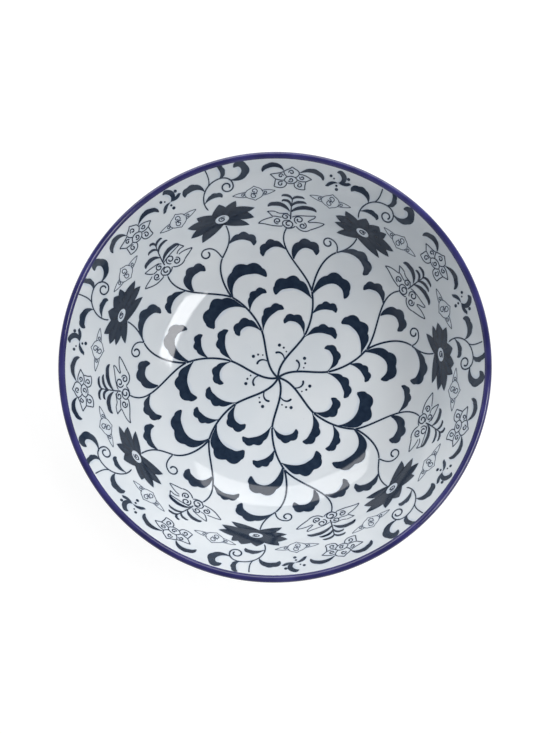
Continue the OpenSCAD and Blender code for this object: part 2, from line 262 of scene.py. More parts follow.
def glaze_bump(tree, place, shader):
    """Glaze skin: a slow ripple and a finer orange peel, both only microns high."""
    ripple = noise(tree, place, scale=55, detail=2)
    bump = add_node(tree, "ShaderNodeBump", {"Height": ripple, "Strength": 0.25, "Distance": 0.25 * mm})
    peel = noise(tree, place, scale=420, detail=2)
    fine = add_node(tree, "ShaderNodeBump", {"Height": peel, "Strength": 0.1, "Distance": 0.02 * mm,
        "Normal": bump.outputs["Normal"]})
    tree.links.new(fine.outputs["Normal"], shader.inputs["Normal"])
    rough = add_node(tree, "ShaderNodeMapRange", {"Value": peel, "To Min": 0.05, "To Max": 0.1})
    tree.links.new(rough.outputs["Result"], shader.inputs["Roughness"])


def white_glaze_look(name, bleed=""):
    """White glaze: a cool white that is greyer where the glaze is thick, with a few pale specks. Where
    the piece carries a bleed attribute, cobalt that has run in the glaze tints it blue."""
    material, tree, shader, place = start_look(name, glaze_ior)
    depth = noise(tree, place, scale=28, detail=3)
    color = add_ramp(tree, depth, (0.35, (0.70, 0.745, 0.785)), (0.65, (0.76, 0.795, 0.825)))
    cells = add_node(tree, "ShaderNodeTexVoronoi", {"Vector": place, "Scale": 160}).outputs["Distance"]
    speck = add_ramp(tree, cells, (0.02, (0.80, 0.78, 0.75)), (0.05, (1, 1, 1)))
    color = add_mix(tree, 0.6, color, speck, "MULTIPLY")
    if bleed:
        run_in = add_node(tree, "ShaderNodeAttribute", attribute_name=bleed).outputs["Fac"]
        share = add_node(tree, "ShaderNodeMapRange", {"Value": run_in, "From Min": 0.12, "From Max": 0.7,
            "To Max": 0.3})
        color = add_mix(tree, share.outputs["Result"], color, (0.36, 0.47, 0.64, 1))
    tree.links.new(color, shader.inputs["Base Color"])
    glaze_bump(tree, place, shader)
    return material


def meet(side, start, end):
    """Run at which the underside's glaze meets a side of the foot, found along a row of sampled runs."""
    run = np.linspace(start, end, 400)
    radius, level, _ = section(run, coat)
    gap = radius - side(level, glaze)
    return np.interp(0, gap, run)


def pooled(start, corner, end, count):
    """Radius and height along a soft corner: a quadratic curve from start to end, drawn to the corner."""
    t = np.linspace(0, 1, count)[:, None]
    points = (1 - t) ** 2 * np.array(start) + 2 * (1 - t) * t * np.array(corner) + t ** 2 * np.array(end)
    return points[:, 0], points[:, 1]


white_glaze = white_glaze_look("white_glaze")

outer_meet = meet(outer_side, foot_radius * 0.9, foot_radius * 1.3)
outer_corner = np.array(section(outer_meet, coat)[:2])
outer_pool_end = (outer_side(outer_corner[1] - pool, glaze), outer_corner[1] - pool)
outer_top = lip_run - band_outside
outer_bead = (outer_side(bare_toe + glaze), bare_toe + glaze)
outer_glaze = turn_piece("outer_glaze_coat", *join(
    arc(outer_bead, glaze, 270, 360, 6),
    straight((outer_side(outer_bead[1], glaze), outer_bead[1]), outer_pool_end, 8),
    pooled(outer_pool_end, outer_corner, section(outer_meet + pool, coat)[:2], 14),
    section(np.linspace(outer_meet + pool, outer_top, 84)[1:], coat)[:2],
    section(np.linspace(outer_top, outer_meet, 30), wall + glaze - coat_sink)[:2],
    straight((outer_side(outer_corner[1], -coat_sink), outer_corner[1]),
        (outer_side(bare_toe, -coat_sink), bare_toe), 6)), 420, white_glaze)
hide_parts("outer_glaze")

inner_meet = meet(inner_side, foot_radius * 0.7, foot_radius)
inner_corner = np.array(section(inner_meet, coat)[:2])
inner_pool_end = (inner_side(inner_corner[1] - pool / 2, glaze), inner_corner[1] - pool / 2)
inner_bead = (inner_side(bare_toe + glaze), bare_toe + glaze)
base_glaze = turn_piece("base_glaze_coat", *join(
    section(np.linspace(0, inner_meet - pool, 60), coat)[:2],
    pooled(section(inner_meet - pool, coat)[:2], inner_corner, inner_pool_end, 14),
    straight(inner_pool_end, (inner_side(inner_bead[1], glaze), inner_bead[1]), 6),
    arc(inner_bead, glaze, 180, 270, 6),
    straight((inner_side(bare_toe, -coat_sink), bare_toe),
        (inner_side(inner_corner[1], -coat_sink), inner_corner[1]), 6),
    section(np.linspace(inner_meet, 0, 30), wall + glaze - coat_sink)[:2]), 360, white_glaze)
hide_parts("base_glaze")

# Inner glaze: the same coat inside the bowl, up to the band. Cobalt from the print has run a little way
# into it, so its mesh is fine enough to carry that tint point by point.
inside_rows = 134
inside_around = 600
inside_run = np.linspace(0, lip_run - band_inside, inside_rows)
inner_glaze = turn_piece("inner_glaze_coat", *join(
    section(np.linspace(0, lip_run - band_inside, 20), glaze + coat_sink)[:2],
    section(inside_run[::-1])[:2]), inside_around, white_glaze_look("printed_glaze", "cobalt_bleed"))
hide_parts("inner_glaze")

# Rim band: violet-blue cobalt, banded on the lip with a brush while the bowl turns, and fired glossy. Its
# edges waver slightly and lie a hair above the glaze.
band_proud = 0.03 * mm
band_waver = 0.14 * mm
band_around = 540


def banded_look():
    """Brushed cobalt band: violet blue with faint streaks along the lip."""
    material, tree, shader, place = start_look("cobalt_band", glaze_ior)
    streak = noise(tree, place, scale=70, detail=5)
    color = add_ramp(tree, streak, (0.3, (0.022, 0.022, 0.10)), (0.55, (0.036, 0.034, 0.15)),
        (0.8, (0.055, 0.055, 0.21)))
    tree.links.new(color, shader.inputs["Base Color"])
    glaze_bump(tree, place, shader)
    return material


def lip_path(along, size):
    """Radius and height at a length along the lip's section, measured from where its round starts on the
    inside: a straight line up the inner wall, half a circle over the lip, and a straight line down the
    outer wall."""
    over = np.pi * lip_radius
    turn = np.clip(along / lip_radius, 0, np.pi)
    rise = np.minimum(along, 0) + np.minimum(over - along, 0)
    x = -size * np.cos(turn)
    y = size * np.sin(turn) + rise
    return (lip_center[0] + x * out_of_wall[0] + y * up_wall[0],
        lip_center[1] + x * out_of_wall[1] + y * up_wall[1])


def waver(bearing, phase):
    """Small wander of a brushed edge round the bowl: a sum of a few waves, from 0 to 1."""
    waves = np.sin(3 * bearing + phase) + np.sin(8 * bearing + 2 * phase)
    waves += 0.7 * np.sin(19 * bearing + 5 * phase)
    return 0.5 + waves / 5.4


band_bearing = np.linspace(0, 2 * np.pi, band_around, endpoint=False)
band_start = -band_inside - band_waver * (0.3 + waver(band_bearing, 0.4))
band_end = np.pi * lip_radius + band_outside + band_waver * (0.3 + waver(band_bearing, 1.7))
band_share = np.linspace(0, 1, 64)[:, None]
face_along = band_start + (band_end - band_start) * band_share
face_proud = band_proud * np.abs(2 * band_share - 1) ** 6
face = lip_path(face_along, lip_radius + face_proud)
back = lip_path(face_along[::-4], lip_radius - glaze + coat_sink)
rim_band = turn_piece("rim_band_coat", np.concatenate([face[0][::-1], back[0][::-1]]),
    np.concatenate([face[1][::-1], back[1][::-1]]), band_around, banded_look())
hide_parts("rim_band")

# Scroll stems: cobalt lines of a printed sheet, pressed on the glaze and fired in. Two drawings of the
# scroll take turns round the bowl, seven in all. Each is laid by hand, so its outer part slips a little
# sideways and up or down, in millimetres.
sheet_run = 133.7
sheet_scale = lip_run / sheet_run
repeat_angle = 2 * np.pi / 7
first_turns = np.array([0, 2, 4])
second_turns = np.array([1, 3, 5, 6])
slip_start = 55
slip_reach = 45
slip_aside = np.array([-1.3, 0.3, 0.1, 0.0, 0.4, 1.0, -1.2])
slip_up = np.array([0.9, 0.7, -0.3, -0.8, 0.0, -0.1, -0.1])
print_sink = 0.05 * mm
lip_clear = 0.3 * mm
stem_proud = 0.02 * mm
printed = []


def curve(controls, count):
    """Points along cubic curves, each given by four control points on the sheet, in millimetres."""
    t = np.linspace(0, 1, count)[:, None]
    basis = np.hstack([(1 - t) ** 3, 3 * (1 - t) ** 2 * t, 3 * (1 - t) * t ** 2, t ** 3])
    return basis @ np.array(controls, dtype=float)


def left_of(path):
    """Unit vectors to the left of a path, a quarter turn from its direction at each point."""
    ahead = np.gradient(path, axis=-2)
    ahead /= np.linalg.norm(ahead, axis=-1, keepdims=True)
    return np.stack([-ahead[..., 1], ahead[..., 0]], axis=-1)


def pen_line(path, start_width, end_width):
    """Two edges of a drawn line. Its width runs evenly from start to end, and each end is a half circle
    that closes to a small flat."""
    closure = 0.97
    t = np.linspace(0, 1, path.shape[-2])
    half = (start_width + (end_width - start_width) * t) / 2
    steps = np.linalg.norm(np.diff(path, axis=-2), axis=-1)
    along = np.concatenate([np.zeros((len(path), 1)), np.cumsum(steps, axis=-1)], axis=-1)
    to_end = np.minimum(along, along[:, -1:] - along)
    cap = np.clip(1 - to_end / half, 0, 1)
    offset = left_of(path) * (half * np.sqrt(1 - closure * cap ** 2))[..., None]
    return path - offset, path + offset


def gather(*edges):
    """One set of edges from several, each a pair of arrays of near and far edges with as many points."""
    return [np.concatenate([pair[i] for pair in edges]) for i in (0, 1)]


def lay_print(name, first, second, proud, across, look, ring=False, turn=0.0, marks=None):
    """Closed films between two edges drawn on the sheet. First and second are the motifs of the two
    drawings, each with a near and a far edge shaped motifs, points, 2. A point of a film is a share of
    the way from near to far. Its distance from the sheet's middle becomes the run along the bowl's
    inside, and its bearing is kept. The face stands proud of the glaze and the back is sunk in it. The
    slip of a repeat grows evenly with the distance. Marks are values for each point along the edges,
    which the material reads with the inset from the edge."""
    near, far = gather(first, second)
    motifs = np.arange(len(near))
    first_count = len(first[0])
    motif = np.concatenate([np.repeat(motifs[:first_count], len(first_turns)),
        np.repeat(motifs[first_count:], len(second_turns))])
    repeat = np.concatenate([np.tile(first_turns, first_count), np.tile(second_turns, len(second[0]))])
    share = np.linspace(0, 1, across)
    flat = near[:, :, None] + (far - near)[:, :, None] * share[:, None]
    step_along = np.gradient(flat, axis=1)
    step_across = np.gradient(flat, axis=2)
    cell = step_along[..., 0] * step_across[..., 1] - step_along[..., 1] * step_across[..., 0]
    turned_over = cell.sum(axis=(1, 2)) < 0
    flat[turned_over] = flat[turned_over][:, :, ::-1]
    width = np.linalg.norm(far - near, axis=-1)
    inset = np.minimum(share, 1 - share) * width[..., None] * mm

    flat, cell, inset = flat[motif], cell[motif], inset[motif]
    repeat = repeat[:, None, None]
    reach = np.linalg.norm(flat, axis=-1)
    slip = np.clip((reach - slip_start) / slip_reach, 0, 1)
    bearing = np.arctan2(flat[..., 1], flat[..., 0]) + turn + repeat_angle * repeat
    bearing -= slip * slip_aside[repeat] / np.maximum(reach, slip_start)
    run = np.minimum((reach + slip * slip_up[repeat]) * sheet_scale, lip_run - lip_clear)
    printed.append([run.ravel(), bearing.ravel(), np.abs(cell).ravel() * mm ** 2])

    run = np.concatenate([run, run[..., ::-1]], axis=-1)
    bearing = np.concatenate([bearing, bearing[..., ::-1]], axis=-1)
    grow = np.repeat([-proud, print_sink], across)
    radius, level, slope = section(run, grow)
    x, y = np.cos(bearing), np.sin(bearing)
    points = np.stack([radius * x, radius * y, level], axis=-1)
    normals = np.stack([-np.sin(slope) * x, -np.sin(slope) * y, np.cos(slope)], axis=-1)

    count, along, loop = run.shape
    start = np.arange(count)[:, None, None] * along * loop
    row = np.arange(along if ring else along - 1)[:, None]
    next_row = (row + 1) % along * loop
    row = row * loop
    here = np.arange(loop)
    there = (here + 1) % loop
    faces = [np.stack([start + row + here, start + next_row + here, start + next_row + there,
        start + row + there], axis=-1).reshape(-1, 4)]
    if not ring:
        k = np.arange(across - 1)
        head = start[:, 0]
        tail = head + (along - 1) * loop
        faces.append(np.stack([head + k, head + k + 1, head + loop - 2 - k, head + loop - 1 - k],
            axis=-1).reshape(-1, 4))
        faces.append(np.stack([tail + k + 1, tail + k, tail + loop - 1 - k, tail + loop - 2 - k],
            axis=-1).reshape(-1, 4))
    piece = put_mesh(name, points.reshape(-1, 3), faces, look)
    piece.data.normals_split_custom_set_from_vertices(normals.reshape(-1, 3))
    values = {"inset": np.concatenate([inset, inset], axis=-1)}
    for mark, value in (marks or {}).items():
        values[mark] = np.broadcast_to(value[motif][..., None], run.shape)
    for mark, value in values.items():
        spread = value.astype(np.float32).ravel()
        piece.data.attributes.new(mark, "FLOAT", "POINT").data.foreach_set("value", spread)
    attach(piece, "root")
    return piece


def print_look(name, deep, pale, shaded=""):
    """Cobalt print under a gloss: deep blue with slow mottling, paler in a thin line along each edge
    where the colour runs into the glaze. Where shaded names a mark, the middle of each petal is paler
    than its edges."""
    material, tree, shader, place = start_look(name, glaze_ior)
    mottle = noise(tree, place, scale=330, detail=4)
    color = add_ramp(tree, mottle, (0.35, deep), (0.75, pale))
    if shaded:
        mark = add_node(tree, "ShaderNodeAttribute", attribute_name=shaded).outputs["Fac"]
        color = add_mix(tree, mark, color, (*pale, 1))
    inset = add_node(tree, "ShaderNodeAttribute", attribute_name="inset").outputs["Fac"]
    edge = add_node(tree, "ShaderNodeMapRange", {"Value": inset, "From Max": 0.14 * mm, "To Min": 0.4,
        "To Max": 0})
    color = add_mix(tree, edge.outputs["Result"], color, (0.12, 0.18, 0.30, 1))
    tree.links.new(color, shader.inputs["Base Color"])
    glaze_bump(tree, place, shader)
    return material


cobalt_print = print_look("cobalt_print", (0.011, 0.022, 0.046), (0.021, 0.038, 0.068))
fork = (-0.4, 27)
split = (-10, 48.8)
first_joint = (-8, 70.5)
second_joint = (-9, 74.5)
lower_stem = [
    [(0, 0), (-5.2, 7.6), (-0.2, 18), fork],
    [fork, (-1.2, 35), (-4.5, 43), split]]
first_stems = curve(lower_stem + [
    [split, (-19, 55.6), (-38.5, 56.8), (-40.1, 71.6)],
    [split, (-12.2, 54), (-13.2, 64.5), first_joint],
    [first_joint, (-3.6, 75.2), (1, 78.5), (-0.2, 89.4)]], 64)
second_stems = curve(lower_stem + [
    [split, (-19, 57), (-39.5, 57.3), (-39.8, 72)],
    [split, (-13, 56), (-14.8, 67), second_joint],
    [second_joint, (-5.6, 78), (-2.6, 82.5), (-2.6, 89.8)]], 64)
stem_starts = np.array([[1.2], [1.15], [1.05], [1.1], [0.95]])
stem_ends = np.array([[1.15], [1.05], [0.85], [0.95], [0.85]])
stems = lay_print("stems", pen_line(first_stems, stem_starts, stem_ends),
    pen_line(second_stems, stem_starts, stem_ends), stem_proud, across=5, look=cobalt_print)
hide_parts("scroll_stems")

# Tendrils: a hook with three dots near the middle of the bowl, and a curl below each dark flower. They
# are lines of the same cobalt print, fired in with the stems that they spring from.
hook = curve([[(-2.3, 9.6), (-3.6, 12.2), (-7.2, 13.0), (-8.5, 10.3)]], 40)
dots = np.array([[-4.0, 14.2, 0.45], [-6.3, 15.2, 0.6], [-9.0, 15.1, 0.9]])
curl_size = 3.1
curl_start = 80
hook_width = (0.55, 1.25)
curl_width = (0.8, 1.0)
line_proud = 0.026 * mm


def spiral(center, size, start, turns, count, draw=0.75):
    """Points along spirals. Each winds from its start angle in degrees by a number of turns, and its
    radius falls evenly from its size by the share draw."""
    t = np.linspace(0, 1, count)
    center = np.reshape(center, (-1, 1, 2))
    angle = np.radians(np.reshape(start, (-1, 1)) + 360 * np.reshape(turns, (-1, 1)) * t)
    radius = np.reshape(size, (-1, 1)) * (1 - draw * t)
    return center + radius[..., None] * np.stack([np.cos(angle), np.sin(angle)], axis=-1)


def dot_edges(dots, count):
    """Lower and upper half of round dots, each given by its center and radius."""
    blunt = 0.06
    turn = np.linspace(blunt * np.pi, (1 - blunt) * np.pi, count)
    x = dots[:, :1] - dots[:, 2:] * np.cos(turn)
    rise = dots[:, 2:] * np.sin(turn)
    return np.stack([x, dots[:, 1:2] - rise], axis=-1), np.stack([x, dots[:, 1:2] + rise], axis=-1)


first_curl = spiral((-15.7, 75.6), curl_size, curl_start, turns=0.9, count=29, draw=0.5)
first_curl_stem = curve([[first_joint, (-8.8, 74), (-10.6, 78.8), first_curl[0, 0]]], 12)
second_curl = spiral((-15.7, 77.0), curl_size, curl_start, turns=1.05, count=29, draw=0.6)
second_curl_stem = curve([[second_joint, (-9.3, 77.5), (-11.4, 80.2), second_curl[0, 0]]], 12)
first_tendril = np.concatenate([first_curl_stem[:, :-1], first_curl], axis=1)
second_tendril = np.concatenate([second_curl_stem[:, :-1], second_curl], axis=1)
hook_edges = gather(pen_line(hook, *hook_width), dot_edges(dots, 40))
tendrils = lay_print("tendrils", gather(hook_edges, pen_line(first_tendril, *curl_width)),
    gather(hook_edges, pen_line(second_tendril, *curl_width)), line_proud, across=5, look=cobalt_print)
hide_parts("scroll_tendrils")

# Scroll leaves: brush-shaped leaves along the stems in solid cobalt print, each with a smooth inner edge
# and a scalloped outer edge. A leaf is given by its inner edge, its width, the side it swells to, and how
# slender its stalk is.
leaf_proud = 0.032 * mm
fork_leaf = ([(0.2, 26.2), (2.6, 30.8), (7.2, 34.9), (14.2, 33.8)], 4.4, 1, 2.0)
first_leaves = [fork_leaf,
    ([(-0.8, 26.4), (-3.6, 31), (-9.6, 34), (-12.2, 28)], 4.5, -1, 2.0),
    ([(-3.1, 38.6), (-1.2, 42.6), (2.4, 45.8), (8.2, 45.1)], 3.9, 1, 1.8),
    ([(-5.2, 41), (-11, 45.6), (-20.5, 45), (-23.8, 36)], 7.3, -1, 1.7),
    ([(-9.2, 47.5), (-9.4, 57.6), (0.2, 61.8), (10.6, 53.4)], 5.9, 1, 1.6),
    ([(-32, 59.6), (-38, 58.8), (-42, 57.6), (-43.7, 50.6)], 3.7, -1, 1.8),
    ([(-28.2, 58.2), (-29.6, 65), (-25.5, 68.4), (-19.4, 66.6)], 5.0, 1, 0.7),
    ([(-2.4, 76.8), (1.5, 78.4), (8.6, 78.4), (10.2, 72)], 4.4, 1, 1.5)]
second_leaves = [fork_leaf,
    ([(-0.8, 26.4), (-3.6, 30.4), (-9.8, 32.6), (-12.8, 26.4)], 3.9, -1, 2.4),
    ([(-3.2, 38.6), (-1.6, 42.6), (1.8, 46), (7, 45.8)], 3.9, 1, 1.6),
    ([(-7.8, 45.3), (-14, 46.4), (-22.4, 46.8), (-25, 37)], 6.2, -1, 1.6),
    ([(-8.7, 46.6), (-8, 55), (-1, 64.5), (6.5, 54.8)], 5.5, 1, 1.3),
    ([(-32.6, 60.6), (-38.5, 60.2), (-42.6, 59), (-41.9, 51)], 4.4, -1, 1.8),
    ([(-27, 58.4), (-28.6, 64.5), (-25.6, 70.6), (-18.4, 66.8)], 5.0, 1, 0.8),
    ([(-8.6, 74.8), (-3, 79.8), (7.5, 80.4), (9.2, 71.8)], 5.2, 1, 2.0)]


def leaf_edges(leaves, count, notch=0.24):
    """Inner and outer edges of leaves. The inner edge is a cubic curve, hollowed before the tip so that
    the tip is a small beak. The outer edge stands off it to one side, by a width that rises as a power of
    a quarter sine wave, the stalk, falls a little towards the round tip, and is scalloped by the size of
    a sine wave. Near the tip it leans forward along the leaf by a bell curve, so that the leaf ends in a
    round lobe beside the beak."""
    controls, width, side, stalk = (np.array(column, dtype=float) for column in zip(*leaves))
    inner = curve(controls, count)
    t = np.linspace(0, 1, count)
    fullest, tip_start, lobe_end, beak = 0.62, 0.8, 0.86, 0.87
    lean_reach, lean_span = 0.36, 0.13
    hollow_depth, hollow_span = 0.07, 0.08
    stalk_width, closure = 0.45, 0.98
    rise = np.sin(np.pi / 2 * np.minimum(t / fullest, 1)) ** stalk[:, None]
    fall = np.sqrt(1 - 4 * np.maximum(t - fullest, 0) ** 2)
    lobe = np.interp(t, [0, 0.28, 0.47, 0.71, 0.88, 1], [0.5, 0.5, 1, 2, 3, 3.5])
    scallop = 1.1 - notch * (1 - np.abs(np.sin(np.pi * lobe)))
    tip = np.clip((t - tip_start) / (1 - tip_start), 0, 1)
    share = rise * fall * scallop * np.sqrt(1 - closure * tip ** 2)
    left = left_of(inner)
    out = left * side[:, None, None]
    ahead = np.stack([left[..., 1], -left[..., 0]], axis=-1)
    stand_off = stalk_width * (1 - t) + width[:, None] * share
    hollow = hollow_depth * width[:, None] * np.exp(-((t - beak) / hollow_span) ** 2)
    lean = lean_reach * width[:, None] * np.exp(-((t - lobe_end) / lean_span) ** 2)
    outer = inner + out * stand_off[..., None] + ahead * lean[..., None]
    return inner + out * hollow[..., None], outer


leaves = lay_print("leaves", leaf_edges(first_leaves, 72), leaf_edges(second_leaves, 72),
    leaf_proud, across=8, look=cobalt_print)
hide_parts("scroll_leaves")

# Dark flower: a broad bloom of pointed petals round a pale eye, printed in solid cobalt that is paler
# along the middle of each petal. The two drawings have nine and ten petals.
bloom_points = 360
bloom_proud = 0.038 * mm
petal_bulge = 0.11
first_tips = [(0, 105.8), (10.4, 104.6), (19.5, 95.5), (16.8, 88.7), (12.7, 84.6), (-15.9, 83.3),
    (-21.6, 89.2), (-22.3, 96.8), (-15.3, 101.8)]
first_valleys = [(3.2, 102.4), (9.4, 100.2), (14.6, 94), (9, 90.2), (-1.2, 90.2), (-14.5, 88.8),
    (-17.5, 93.5), (-14.8, 98.8), (-6, 100)]
second_tips = [(-2.8, 107), (6.4, 106.9), (12.5, 105), (20.9, 96.9), (19.1, 91.2), (13.9, 86.3),
    (-14.4, 85.8), (-18.4, 92.3), (-19.7, 97.1), (-16, 104)]
second_valleys = [(0.8, 104.2), (8.6, 104.1), (12, 100.4), (16.2, 94.8), (10.2, 90.8), (-2.2, 90.2),
    (-11.6, 90.8), (-15.2, 94.6), (-14.6, 100.4), (-6.8, 102.6)]
first_eye = np.array([(-1.0, 94.5), (4.1, 2.9)])
second_eye = np.array([(-1.0, 96.0), (4.0, 2.5)])


def bloom_edges(tips, valleys, eye, bulge):
    """Edges of a bloom, from its oval eye to its petals. From each valley the petals rise to the next tip
    and fall again, every side a quadratic curve that bulges by a share of its length. The eye's point has
    the same bearing as the petal's, seen from the eye's center. Also gives how near each point is to the
    middle of its petal."""
    tips, valleys = np.array(tips, dtype=float), np.array(valleys, dtype=float)
    start = np.stack([np.roll(valleys, 1, axis=0), tips], axis=1).reshape(-1, 2)
    end = np.stack([tips, valleys], axis=1).reshape(-1, 2)
    reach = end - start
    bow = (start + end) / 2 + bulge * np.stack([-reach[:, 1], reach[:, 0]], axis=-1)
    t = np.linspace(0, 1, bloom_points // len(start), endpoint=False)[None, :, None]
    petals = (1 - t) ** 2 * start[:, None] + 2 * (1 - t) * t * bow[:, None] + t ** 2 * end[:, None]
    rising = np.array([True, False] * len(tips))[:, None]
    middle = np.where(rising, t[..., 0], 1 - t[..., 0])
    petals = petals.reshape(1, -1, 2)
    way = (petals - eye[0]) / eye[1]
    rim = eye[0] + eye[1] * way / np.linalg.norm(way, axis=-1, keepdims=True)
    return rim, petals, middle.reshape(1, -1)


flower_look = print_look("flower_print", (0.005, 0.011, 0.026), (0.019, 0.031, 0.054), "petal_middle")
*first_bloom, first_middle = bloom_edges(first_tips, first_valleys, first_eye, petal_bulge)
*second_bloom, second_middle = bloom_edges(second_tips, second_valleys, second_eye, petal_bulge)
flowers = lay_print("flowers", first_bloom, second_bloom, bloom_proud, across=16, look=flower_look,
    ring=True, marks={"petal_middle": np.concatenate([first_middle, second_middle])})
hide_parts("dark_flowers")

# Eye of the dark flower: a dark curl drawn in fine cobalt line on the pale oval in its middle, where the
# white glaze is left bare. It is printed with the flower.
eye_proud = 0.03 * mm
eye_width = (0.65, 1.0)
fine_print = print_look("fine_print", (0.009, 0.016, 0.036), (0.022, 0.036, 0.066))
eye_curl = spiral((0, 0), size=0.62, start=30, turns=1.4, count=40, draw=0.8)
eye_curls = [pen_line(eye[0] + eye[1] * eye_curl, *eye_width) for eye in (first_eye, second_eye)]
eyes = lay_print("flower_eyes", *eye_curls, eye_proud, across=4, look=fine_print)

# Winged flowers: pale blooms with curled hearts, drawn in fine cobalt line on the bare white glaze, under
# a plume of dark leaves. They are printed at the ends of the long stems, between the dark flowers.
wing_turn = np.radians(27.3)
fine_line = 0.72
curl_end = 0.95
plume_width = (0.9, 0.7)
plume_notch = 0.06
heart_lines = [
    [(-3.0, 82.4), (-1.0, 82.0), (1.6, 82.6), (2.6, 84.2)],
    [(-4.4, 83.8), (-5.2, 86.6), (-4.2, 88.2), (-0.2, 87.8)]]
first_wings = curve(heart_lines + [
    [(-1.6, 92.8), (-4.5, 93.6), (-7.5, 94.6), (-11.8, 95.2)],
    [(-11.8, 95.2), (-11.0, 93.6), (-9.8, 91.4), (-8.0, 90.0)],
    [(-8.0, 90.0), (-7.0, 89.6), (-6.0, 89.6), (-5.2, 89.8)],
    [(-9.6, 89.6), (-12.0, 88.4), (-15.0, 88.6), (-17.4, 87.0)],
    [(-17.4, 87.0), (-14.5, 85.6), (-11.5, 82.2), (-4.4, 83.6)],
    [(0.8, 90.4), (3.6, 91.6), (9.0, 91.6), (14.4, 92.0)],
    [(14.4, 92.0), (15.0, 90.6), (15.4, 89.6), (15.6, 88.6)],
    [(15.6, 88.6), (13.0, 89.8), (11.0, 89.4), (9.6, 88.0)],
    [(10.2, 87.0), (12.5, 87.2), (15.4, 85.8), (18.3, 83.9)],
    [(18.3, 83.9), (15.0, 82.6), (12.8, 82.6), (10.6, 81.8)],
    [(10.6, 81.8), (8.6, 80.2), (4.6, 81.0), (3.0, 83.8)]], 40)
second_wings = curve(heart_lines + [
    [(-1.6, 92.9), (-5.5, 93.0), (-6.5, 91.8), (-9.0, 93.8)],
    [(-9.0, 93.8), (-10.6, 94.3), (-12.4, 93.9), (-14.0, 93.5)],
    [(-14.0, 93.5), (-12.4, 92.8), (-11.9, 90.8), (-10.4, 90.0)],
    [(-10.4, 90.0), (-8.5, 90.6), (-7.0, 89.4), (-5.2, 89.8)],
    [(-10.4, 89.6), (-12.6, 88.4), (-16.8, 87.4), (-18.4, 84.2)],
    [(-18.4, 84.2), (-14.5, 85.0), (-11.0, 82.4), (-4.4, 83.6)],
    [(0.6, 90.3), (3.6, 92.8), (9.0, 91.6), (14.5, 93.0)],
    [(14.5, 93.0), (14.3, 90.0), (11.0, 90.2), (9.9, 87.6)],
    [(10.2, 87.4), (13.0, 88.2), (16.0, 88.6), (19.6, 87.7)],
    [(19.6, 87.7), (17.5, 85.4), (14.0, 84.0), (11.0, 82.4)],
    [(11.0, 82.4), (8.5, 80.4), (4.6, 81.2), (3.1, 84.2)]], 40)
wing_curls = spiral([(-1.2, 85.3), (-3.1, 90.4), (-7.6, 86.9), (4.7, 88.8), (6.8, 84.9)],
    size=[3.1, 2.4, 2.2, 3.0, 2.3], start=[190, 10, 290, 250, 70],
    turns=[1.35, 1.3, -1.3, -1.35, -1.3], count=40)
first_plume_stem = curve([[(0.2, 88.5), (0.6, 93.5), (2.4, 98), (4.4, 105.4)]], 40)
second_plume_stem = curve([[(-0.2, 88.5), (-0.1, 93), (0, 98), (0.8, 104.6)]], 40)
first_plume = [
    ([(0.9, 94.8), (-1.4, 97.4), (-5.2, 98.4), (-9.3, 96.8)], 2.4, -1, 1.0),
    ([(1, 91), (4, 93.6), (9.5, 94.2), (14.4, 91.9)], 2.4, 1, 1.0),
    ([(2.7, 99.8), (1.9, 102), (-0.2, 103), (-3, 102.4)], 1.5, -1, 1.0),
    ([(2.8, 98.4), (4.6, 100.4), (7.6, 101.2), (11.4, 100.3)], 1.6, 1, 1.0),
    ([(3.9, 103), (3.6, 105.2), (2.8, 106.4), (1.2, 106.2)], 1.5, -1, 1.0),
    ([(3.6, 102.2), (5, 104), (7.2, 104.6), (9.8, 104.2)], 1.5, 1, 1.0)]
second_plume = [
    ([(-0.9, 94.4), (-4.4, 98.4), (-8.5, 99.2), (-13.6, 97.2)], 2.8, -1, 1.0),
    ([(-0.2, 93.8), (3.4, 96.8), (9.5, 98.2), (15, 95.8)], 2.6, 1, 1.0),
    ([(-0.4, 98.6), (-1.2, 101.6), (-3, 102.6), (-5.6, 101.8)], 1.6, -1, 1.0),
    ([(0.2, 98), (2, 101), (5, 101.8), (9.2, 101.2)], 1.8, 1, 1.0),
    ([(0.5, 103), (-0.8, 105.8), (-3, 106.2), (-6, 105.6)], 1.6, -1, 1.0),
    ([(0.6, 103), (1.6, 105.2), (4, 105.6), (8, 104.8)], 1.6, 1, 1.0)]
curl_edges = pen_line(wing_curls, fine_line, curl_end)
wings = lay_print("winged_flowers_print",
    gather(pen_line(first_wings, fine_line, fine_line), curl_edges,
        pen_line(first_plume_stem, *plume_width), leaf_edges(first_plume, 40, plume_notch)),
    gather(pen_line(second_wings, fine_line, fine_line), curl_edges,
        pen_line(second_plume_stem, *plume_width), leaf_edges(second_plume, 40, plume_notch)),
    line_proud, across=5, look=fine_print, turn=wing_turn)
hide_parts("winged_flowers")

